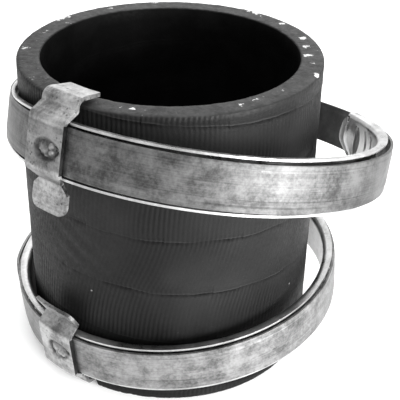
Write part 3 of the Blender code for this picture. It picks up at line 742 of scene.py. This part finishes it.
def band_profile():
    """The strap across its width: shares of its half width and of its crest's rise."""
    lip = 1 - BAND_LIP / BAND_HALF
    foot = lip - BAND_SLOPE / BAND_HALF
    side = [(-1.0, LIP_RISE), (-0.97, LIP_RISE), (-lip, LIP_RISE),
            (-lip + 0.02, LIP_RISE + 0.03), (-foot - 0.02, 0.97), (-foot, 1.0)]
    middle = [(share, 1.0) for share in (-0.5, -0.34, -0.2, 0.0, 0.2, 0.34, 0.5)]
    return side + middle + [(-share, rise) for share, rise in reversed(side)]


def worm_groove(clamp, angle, height):
    """The depth of the worm's slanted grooves, from the strap's free end to past its lap."""
    first = clamp.band_ends()[1] - GROOVE_MARGIN / clamp.radius
    pitch = GROOVE_PITCH / (clamp.radius + LAP_STEP)
    slanted = angle + math.tan(math.radians(GROOVE_SLANT_DEG)) * height / clamp.radius
    back = first - slanted
    if not -pitch / 2 < back < (clamp.tail + GROOVE_LEAD) / clamp.radius:
        return 0.0
    off = abs(back / pitch - round(back / pitch))
    groove = smooth_step((GROOVE_HALF - off) / GROOVE_EASE)
    return GROOVE_DEPTH * groove * smooth_step((GROOVE_TOP - abs(height)) / GROOVE_RUN_OUT)


def make_band(clamp, materials):
    """The strap: one turn with rolled lips, a lap, worm grooves and rounded corners at its free end."""
    start, end = clamp.band_ends()
    corner = BAND_CORNER / clamp.radius
    fine_from = end - (clamp.tail + BAND_FINE_LEAD) / clamp.radius
    angles = []
    angle = start
    while angle < end - corner:
        angles.append(angle)
        angle += (BAND_FINE_STEP if angle > fine_from else COARSE_STEP) / clamp.radius
    angles += [end - corner * math.cos(math.pi / 2 * i / 6) for i in range(7)]
    outer, inner, uvs = [], [], []
    for angle in angles:
        into = max(0.0, (angle - (end - corner)) / corner)
        half = BAND_HALF - BAND_CORNER * (1 - math.sqrt(max(0.0, 1 - into ** 2)))
        base = clamp.radius - BAND_INSET + clamp.lap_offset(angle) - STRAP_HUG * clamp.hug(angle)
        row_out, row_in, row_uv = [], [], []
        for side, rise in band_profile():
            height = half * side
            back = base + BAND_CREST * rise
            front = back + BAND_T - worm_groove(clamp, angle, height)
            row_out.append(clamp.frame @ polar(front, angle, height))
            row_in.append(clamp.frame @ polar(back, angle, height))
            row_uv.append(((angle - start) * clamp.radius, height))
        outer.append(row_out)
        inner.append(row_in)
        uvs.append(row_uv)
    item = slab(clamp.name + "_strap", outer, inner, uvs, inner_side=1)
    shade(item, 30)
    bevel(item, BAND_EDGE)
    finish_piece(item, materials, "band_steel", clamp.name + "_band")


# Liners

def liner_profile():
    """The liner's outer skin across its width: (outward, height) in mm, normals, and rows in a side."""
    side = [(out, LINER_HALF) for out in (LINER_FLANGE, (LINER_FLANGE + LINER_BEND) / 2, LINER_BEND)]
    for degrees in (22.5, 45, 67.5, 90):
        turn = math.radians(degrees)
        height = LINER_HALF - LINER_BEND * (1 - math.cos(turn))
        side.append((LINER_BEND * (1 - math.sin(turn)), height))
    profile = side + [(0.0, height) for height in WEB_ROWS]
    profile += [(out, -height) for out, height in reversed(profile[:-1])]
    normals = []
    for k in range(len(profile)):
        before = Vector(profile[max(k - 1, 0)])
        run = (Vector(profile[min(k + 1, len(profile) - 1)]) - before).normalized()
        normals.append((run.y, -run.x))
    return profile, normals, len(side)


def tongue_relief(along, height):
    """The inward push (mm) of the tongue: a raised rim along its bow and a lens shaped bulge beside it."""
    lens = ((along - LENS_MIDDLE) / LENS_LENGTH) ** 2 + (height / LENS_HEIGHT) ** 2
    bulge = LENS_DEPTH * smooth_step((1.2 - lens) / 1.1)
    bow = TONGUE_BOW / MM * (1 - math.sqrt(max(0.0, 1 - (height / RELIEF_HALF) ** 2)))
    rim = RIM_DEPTH * math.exp(-((along - bow - RIM_MIDDLE) / RIM_WIDTH) ** 2)
    return (bulge + rim) * smooth_step((RELIEF_HALF - abs(height)) / RELIEF_FADE)


def slot_bow(along, height):
    """How far (mm) a place is pushed away from the tongue's tip: slots bow, the lower corner is cut back."""
    inside = smooth_step((along - SLOT_BOW_START) / 2.2) * smooth_step((SLOT_BOW_END - along) / 5.0)
    bow = SLOT_BOW * inside * max(0.0, 1 - (height / SLOT_BOW_HALF) ** 2)
    near_tip = smooth_step((CORNER_LENGTH - along) / 11.0)
    return bow + CORNER_CUT * smooth_step((-height - 1.0) / 5.0) * near_tip


def liner_stations(clamp, start, tip, web):
    """Angles along the liner, each with the half height (mm) of the tongue's bow or None before it."""
    flange_end = tip - TONGUE_BOW / web
    fine_from = tip - TONGUE_FINE_LENGTH / web
    angles = []
    angle = start
    while angle < flange_end:
        angles.append(angle)
        angle += (TONGUE_FINE_STEP if angle > fine_from else COARSE_STEP) / web
    angles.append(flange_end)
    for middle, half in SLOTS[clamp.name]:
        angles += [tip - (middle - half) * MM / web, tip - (middle + half) * MM / web]
    stations = [(angle, None) for angle in sorted(angles)]
    for k in range(1, 12):
        bow = math.radians(7.5 * k)
        stations.append((flange_end + TONGUE_BOW * math.sin(bow) / web, TONGUE_HALF * math.cos(bow)))
    return stations


def make_liner(clamp, material):
    """The liner: a channel with a bowed tongue, three slots beside it and, on the lower clamp, a round hole.
    """
    upper = clamp is UPPER
    web = clamp.radius - LINER_INSET
    reach = HOUSING_LENGTH / 2 + clamp.tongue_gap + TONGUE_REACH[clamp.name] * MM
    tip = clamp.closure - reach / web
    start = clamp.closure + (HOUSING_LENGTH / 2 + LINER_END_GAP) / web - math.tau
    profile, normals, side_count = liner_profile()
    stations = liner_stations(clamp, start, tip, web)
    place = clamp.frame @ Matrix.Translation((-LINER_SHIFT if upper else 0.0, 0, 0))
    outer, inner, uvs, keep = [], [], [], []
    for angle, limit in stations:
        along = (tip - angle) * web / MM
        hug = clamp.hug(angle)
        row_out, row_in, row_uv = [], [], []
        for (out, height), (nx, ny) in zip(profile, normals):
            if limit is not None:
                out, nx, ny = 0.0, -1.0, 0.0
                inside = abs(height) <= TONGUE_HALF
                height = height * limit / TONGUE_HALF if inside else math.copysign(limit, height)
            out *= 1 - LINER_HUG_FLANGE * hug
            height *= 1 - LINER_HUG_HEIGHT * hug
            turned = angle - slot_bow(along, height) * MM / web if upper else angle
            skin = web + out * MM - tongue_relief(along, height) * MM - LINER_HUG * hug
            row_out.append(place @ polar(skin, turned, height * MM))
            row_in.append(place @ polar(skin + nx * LINER_T, turned, height * MM + ny * LINER_T))
            row_uv.append(((angle - start) * web, height * MM))
        outer.append(row_out)
        inner.append(row_in)
        uvs.append(row_uv)
    for (before, _), (after, limit) in zip(stations, stations[1:]):
        middle = (tip - (before + after) / 2) * web / MM
        in_slot = any(abs(middle - centre) < half for centre, half in SLOTS[clamp.name])
        in_notch = upper and limit is None and NOTCH_ALONG[0] < middle < NOTCH_ALONG[1]
        cells = []
        for k in range(len(profile) - 1):
            height = abs(profile[k][1] + profile[k + 1][1]) / 2
            beside = limit is not None and not side_count - 1 <= k < len(profile) - side_count
            slot = in_slot and height < SLOT_HALF
            notch = in_notch and NOTCH_HEIGHT[0] < height < NOTCH_HEIGHT[1]
            cells.append(not (beside or slot or notch))
        keep.append(cells)
    item = slab(clamp.name + "_lining", outer, inner, uvs, np.array(keep))
    if clamp is LOWER:
        cut_round_hole(item, clamp, web)
    shade(item, 40)
    bevel(item, LINER_EDGE)
    finish_piece(item, [material], "liner_steel", clamp.name + "_liner")


def cut_round_hole(item, clamp, web):
    """Cut the liner's round hole with a cylinder that is removed afterwards."""
    angle = math.radians(LINER_HOLE_DEG)
    outward = Vector((math.cos(angle), math.sin(angle), 0))
    tangent = Vector((-math.sin(angle), math.cos(angle), 0))
    place = Matrix((tangent, Vector((0, 0, 1)), outward)).transposed().to_4x4()
    place.translation = polar(web, angle, 0)
    mesh = bpy.data.meshes.new("cut")
    work = bmesh.new()
    bmesh.ops.create_cone(work, cap_ends=True, segments=32, radius1=LINER_HOLE_R, radius2=LINER_HOLE_R,
                          depth=4 * MM)
    bmesh.ops.transform(work, matrix=clamp.frame @ place, verts=work.verts)
    work.to_mesh(mesh)
    work.free()
    cutter = bpy.data.objects.new("cut", mesh)
    bpy.context.scene.collection.objects.link(cutter)
    modifier = item.modifiers.new("hole", "BOOLEAN")
    modifier.solver = "EXACT"
    modifier.object = cutter
    bpy.context.view_layer.update()
    baked = bpy.data.meshes.new_from_object(item.evaluated_get(bpy.context.evaluated_depsgraph_get()))
    item.modifiers.clear()
    item.data = baked
    bpy.data.objects.remove(cutter)


# Clips

def rounded_path(points, radii):
    """The path through the points, with an arc of the given radius at each corner."""
    path = [Vector(points[0])]
    for before, corner, after, radius in zip(points, points[1:], points[2:], radii):
        corner = Vector(corner)
        back = (Vector(before) - corner).normalized()
        ahead = (Vector(after) - corner).normalized()
        half = back.angle(ahead) / 2
        setback = radius / math.tan(half)
        middle = corner + (back + ahead).normalized() * (radius / math.sin(half))
        first = corner + back * setback - middle
        turn = first.angle_signed(corner + ahead * setback - middle)
        for i in range(BEND_STEPS + 1):
            path.append(middle + Matrix.Rotation(-turn * i / BEND_STEPS, 2) @ first)
    path.append(Vector(points[-1]))
    return path


def resample(path, spacing):
    """The path with extra points, so that no step is longer than spacing."""
    out = [path[0]]
    for a, b in zip(path, path[1:]):
        count = max(1, math.ceil((b - a).length / spacing))
        out += [a.lerp(b, k / count) for k in range(1, count + 1)]
    return out


def clip_path(clamp):
    """The clip's inner side as (outward, height) in mm: leaf, leg, bridge over the strap and tab."""
    opened = math.radians(CLIP_LEAF_OPEN_DEG)
    leaf_end = (-CLIP_STEP - CLIP_LEAF * math.cos(opened), CLIP_REACH + CLIP_LEAF * math.sin(opened))
    tab_round = TAB_ROUND[clamp.name]
    tab_top = -CLIP_FOOT - clamp.clip_tab + tab_round
    corners = [leaf_end, (-CLIP_STEP, CLIP_REACH), (-CLIP_STEP, CLIP_FOOT), (0, CLIP_BRIDGE),
               (0, -CLIP_BRIDGE), (-CLIP_STEP, -CLIP_FOOT), (-CLIP_STEP, tab_top)]
    path = resample(rounded_path(corners, [CLIP_HOOK_RADIUS] + [CLIP_BEND_RADIUS] * 4), CLIP_SPACING)
    for degrees in range(10, 91, 10):
        path.append(Vector((-CLIP_STEP, tab_top - tab_round * math.sin(math.radians(degrees)))))
    return path


def clip_half_width(clamp, height):
    """The strip's half width (mm) at a height: wide over the band, necked below it, round at the tab."""
    neck, tab = clamp.clip_neck_width, clamp.clip_tab_width
    if height > -CLIP_BRIDGE:
        share = smooth_step((CLIP_FOOT - height) / CLIP_RAMP_RISE)
        return (CLIP_LEG_WIDTH + (CLIP_BRIDGE_WIDTH - CLIP_LEG_WIDTH) * share) / 2
    if height > -CLIP_FOOT:
        share = smooth_step((-CLIP_BRIDGE - height) / CLIP_RAMP_RISE)
        return (CLIP_BRIDGE_WIDTH + (neck - CLIP_BRIDGE_WIDTH) * share) / 2
    half = (neck + (tab - neck) * smooth_step((-CLIP_FOOT - height) / CLIP_TAB_SHOULDER)) / 2
    left = height + CLIP_FOOT + clamp.clip_tab
    corner = TAB_ROUND[clamp.name]
    if left < corner:
        half -= corner - math.sqrt(max(0.0, corner ** 2 - (corner - left) ** 2))
    return half


def clip_painted_shade(clamp, height):
    """How much painted shade darkens the clip's bridge and the ramp below it, standing in for their darker
    reflection.
    """
    on_bridge = smooth_step((CLIP_BRIDGE - SHADE_OVERLAP - abs(height)) / SHADE_FADE)
    ramp_start = smooth_step((-height - CLIP_BRIDGE + SHADE_OVERLAP) / SHADE_FADE)
    ramp_end = smooth_step((CLIP_FOOT + height) / SHADE_FADE)
    bridge_shade, ramp_shade = CLIP_SHADE_SHARES[clamp.name]
    return bridge_shade * on_bridge + ramp_shade * ramp_start * ramp_end


def make_clip(clamp, materials):
    """The retaining clip: one bent strip with worn faces and a round clinch in its bridge."""
    path = clip_path(clamp)
    aside, outward = TAB_FLARE[clamp.name]
    seed = CLIP_SEED[clamp.name]
    outer, inner, uvs, clip_shade = [], [], [], []
    run = 0.0
    for k, point in enumerate(path):
        before, after = path[max(k - 1, 0)], path[min(k + 1, len(path) - 1)]
        step = (after - before).normalized()
        normal = Vector((-step.y, step.x))
        run += (point - before).length
        half = clip_half_width(clamp, point.y)
        shade_share = clip_painted_shade(clamp, point.y)
        flare = min(max((-CLIP_FOOT - point.y) / clamp.clip_tab, 0.0), 1.0)
        base = clamp.radius + TOUCH_GAP + (point.x + outward * flare) * MM
        height = clamp.clip_shift + clamp.end * point.y * MM
        bend_marks = 0.0
        if CLIP_BRIDGE < -point.y < CLIP_FOOT:
            bend_marks = BEND_MARK_DEPTH * math.cos(math.tau * run / BEND_MARK_PITCH)
        row_out, row_in, row_uv = [], [], []
        for column in range(CLIP_COLUMNS):
            across = (column / (CLIP_COLUMNS // 2) - 1) * half
            angle = clamp.clip_angle + (across + aside * flare) * MM / clamp.radius
            pressed = clinch(across, point, clamp.name)
            # Painted shade: darker in the clinch's hollows, and on the bridge and ramp by the share above
            clip_shade.append(min(max(-pressed / 0.55, 0.0) + shade_share, 1.0))
            hammered = HAMMER_DEPTH * abs(rand((across, run, seed), 2.4, 5))
            pitted = PIT_DEPTH * max(0.0, rand((across, run, seed), 0.8, 1))
            top = (CLIP_T + pressed + bend_marks - hammered - pitted - FACE_DEPTH) * MM
            face = polar(base + normal.x * top, angle, height + clamp.end * normal.y * top)
            row_out.append(clamp.frame @ face)
            row_in.append(clamp.frame @ polar(base, angle, height))
            row_uv.append((across * MM, run * MM))
        outer.append(row_out)
        inner.append(row_in)
        uvs.append(row_uv)
    clip_shade += [0.0] * len(clip_shade)
    item = slab(clamp.name + "_hook_clip", outer, inner, uvs, cut_side=1, floats={"clip_shade": clip_shade})
    # The cut sides get painted shade beside the strap only, for the shadow beside the bridge
    inverse = clamp.frame.inverted()
    for face in item.data.polygons:
        height = (inverse @ face.center).z - clamp.clip_shift
        if face.material_index == 1 and abs(height) > (CLIP_BRIDGE - 0.2) * MM:
            face.material_index = 0
    shade(item, 50)
    bevel(item, CLIP_EDGE * MM, 50)
    finish_piece(item, materials, "clip_steel", clamp.name + "_retaining_clip")


# Clinches
CLINCH_MIDDLE = (1.1, -0.6)
CLINCH_SIZE = (3.7, 2.5)
CLINCH_DEPTH = 0.18
CLINCH_RING = 0.96
CLINCH_RING_WIDTH = 0.17
BOWL_DEPTH = 0.22
CLINCH_KNOBS = {  # across, up, radius and rise in mm
    "upper": ((0.6, -0.5, 1.5, 0.45), (2.9, 0.5, 0.8, 0.5), (3.1, -1.0, 0.75, 0.55), (1.4, -2.0, 0.6, 0.3)),
    "lower": ((2.2, -0.2, 1.4, 0.45), (0.2, -1.2, 0.8, 0.45), (4.0, -1.4, 0.6, 0.4), (0.4, 0.9, 0.6, 0.35)),
}
CLINCH_DEEPS = {  # bearing in degrees, its half width and the depth in mm
    "upper": ((180, 42, 0.50), (-118, 34, 0.40), (-62, 30, 0.30), (8, 17, 0.75)),
    "lower": ((-165, 34, 0.60), (140, 22, 0.35), (-15, 15, 0.70), (60, 30, 0.30)),
}


def clinch(across, point, name):
    """The rise (mm) of the rough round clinch: a broken circular groove around irregular knobs."""
    if abs(point.x) > 0.05:
        return 0.0
    seed = CLIP_SEED[name]
    x = (across - CLINCH_MIDDLE[0]) / CLINCH_SIZE[0]
    y = (point.y - CLINCH_MIDDLE[1]) / CLINCH_SIZE[1]
    ring = math.hypot(x, y)
    bearing = math.degrees(math.atan2(y, x))
    depth = CLINCH_DEPTH
    for middle, half, extra in CLINCH_DEEPS[name]:
        depth += extra * math.exp(-(turned_from(middle, bearing) / half) ** 2)
    uneven = rand((across, point.y, seed), 0.9, 4)
    off = (ring - CLINCH_RING + 0.08 * uneven) / CLINCH_RING_WIDTH
    groove = -1.3 * depth * (1 + 0.5 * uneven) * math.exp(-off ** 2)
    bowl = -BOWL_DEPTH * smooth_step((1.0 - ring) / 0.15)
    knob = 0.0
    for a, b, size, rise in CLINCH_KNOBS[name]:
        near = math.hypot(across - a, point.y - b) / size
        near += 0.5 * rand((across, point.y, seed + a), 0.8, 2)
        knob = max(knob, rise * smooth_step((1.15 - near) / 0.6))
    return groove + bowl + knob


# Put together

make_hose()
# Painted shade along two creases on the straps: place across the strip, half width and strength
STRAP_CREASE_SHADES = ((4.65 * MM, 0.22 * MM, 0.35), (-2.9 * MM, 0.16 * MM, 0.6))
# One zinc plated steel for both straps: the upper strap's greys are darker as painted shade, the lower
# strap's paler as painted light, for their different reflections
strap_steel = {
    "upper": steel("zinc_strap_painted_shade", (0.042, 0.170), (0.42, 0.56), blotch=170, lines=STRAP_CREASE_SHADES),
    "lower": steel("zinc_strap_painted_light", (0.075, 0.34), (0.40, 0.54), blotch=170, lines=STRAP_CREASE_SHADES),
}
strap_inside = plain_steel("strap_inside_zinc", (0.11, 0.19), 0.45)
liner_steel = steel("liner_zinc", (0.34, 0.60), (0.26, 0.40), blotch=120, streaky=0.15)
clip_steel = steel("clip_zinc", (0.12, 0.50), (0.36, 0.52), blotch=200, along=300, pits=0.8)
# Painted shade: a near black steel for the clip's cut sides beside the strap
clip_edge_shade = plain_steel("clip_edge_painted_shade", (0.012, 0.04), 0.5)
for clamp in (UPPER, LOWER):
    make_band(clamp, [strap_steel[clamp.name], strap_inside])
    make_liner(clamp, liner_steel)
    make_clip(clamp, [clip_steel, clip_edge_shade])
housing_steel = plain_steel("housing_zinc", (0.20, 0.36), 0.36)
screw_steel = plain_steel("screw_zinc", (0.18, 0.34), 0.32)
for end in ("upper", "lower"):
    for node, material in ((end + "_screw_housing", housing_steel), (end + "_worm_screw", screw_steel)):
        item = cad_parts[node]
        item.data.materials.clear()
        item.data.materials.append(material)

# Floor
FLOOR_HALF = 3
FLOOR_GREYS = (0.86, 0.90)
FLOOR_GLOW = 0.2
FLOOR_DROP = 0.1 * MM

mesh = bpy.data.meshes.new("floor")
corners = [(-FLOOR_HALF, -FLOOR_HALF, 0), (FLOOR_HALF, -FLOOR_HALF, 0),
           (FLOOR_HALF, FLOOR_HALF, 0), (-FLOOR_HALF, FLOOR_HALF, 0)]
mesh.from_pydata(corners, [], [(0, 1, 2, 3)])
floor = bpy.data.objects.new("floor", mesh)
floor.location.z = -FLOOR_DROP
bpy.context.scene.collection.objects.link(floor)
paper = Tree("pale_floor")
paper_colour = paper.mix(paper.noise(paper.coords(), 6.0), *FLOOR_GREYS)
floor.data.materials.append(paper.out(Base_Color=paper_colour, Roughness=0.9, Specular_IOR_Level=0.1,
                                      Emission_Color=(1, 1, 1, 1), Emission_Strength=FLOOR_GLOW))

# Light
WORLD_STRENGTH = 0.85
AIM = Vector((0, 0, 0.045))
LIGHTS = (  # name, place, width and height in metres, power in watts
    ("back", (0.25, 0.95, 0.62), 1.4, 0.8, 6.0),
    ("top", (0.0, -0.05, 1.0), 0.9, 0.9, 7.0),
    ("right", (0.52, -0.50, 0.16), 0.5, 0.26, 13.5),
)

world = bpy.data.worlds.new("studio")
bpy.context.scene.world = world
world.use_nodes = True
world.node_tree.nodes["Background"].inputs["Color"].default_value = (1, 1, 1, 1)
world.node_tree.nodes["Background"].inputs["Strength"].default_value = WORLD_STRENGTH
for name, place, width, height, power in LIGHTS:
    data = bpy.data.lights.new(name, "AREA")
    data.shape = "RECTANGLE"
    data.size = width
    data.size_y = height
    data.energy = power
    item = bpy.data.objects.new(name, data)
    bpy.context.scene.collection.objects.link(item)
    item.location = place
    item.rotation_euler = (AIM - Vector(place)).to_track_quat("-Z", "Y").to_euler()

# The camera, from the photo's rim and strap ellipses
ELEVATION_DEG = 30.78
ROLL_DEG = 1.24
CAMERA_TARGET = (8.735 * MM, 0.0, 40.61 * MM)
CAMERA_DISTANCE = 269.2439024 * MM
SENSOR_WIDTH = 36.0
FOCAL_PIXELS = 907.0
PHOTO_PIXELS = 400.0

elevation = math.radians(ELEVATION_DEG)
roll = math.radians(ROLL_DEG)
back = Vector((0, -math.cos(elevation), math.sin(elevation)))
up = Vector((0, math.sin(elevation), math.cos(elevation)))
right = Vector((1, 0, 0))
x_axis = right * math.cos(roll) + up * math.sin(roll)
y_axis = -right * math.sin(roll) + up * math.cos(roll)
camera_data = bpy.data.cameras.new("camera")
camera_data.sensor_width = SENSOR_WIDTH
camera_data.lens = FOCAL_PIXELS / PHOTO_PIXELS * SENSOR_WIDTH
camera_data.clip_start = 10 * MM
camera = bpy.data.objects.new("camera", camera_data)
bpy.context.scene.collection.objects.link(camera)
matrix = Matrix((x_axis, y_axis, back)).transposed().to_4x4()
matrix.translation = ROOT + Vector(CAMERA_TARGET) + back * CAMERA_DISTANCE
camera.matrix_world = matrix
bpy.context.scene.camera = camera
bpy.context.scene.view_settings.view_transform = "Standard"
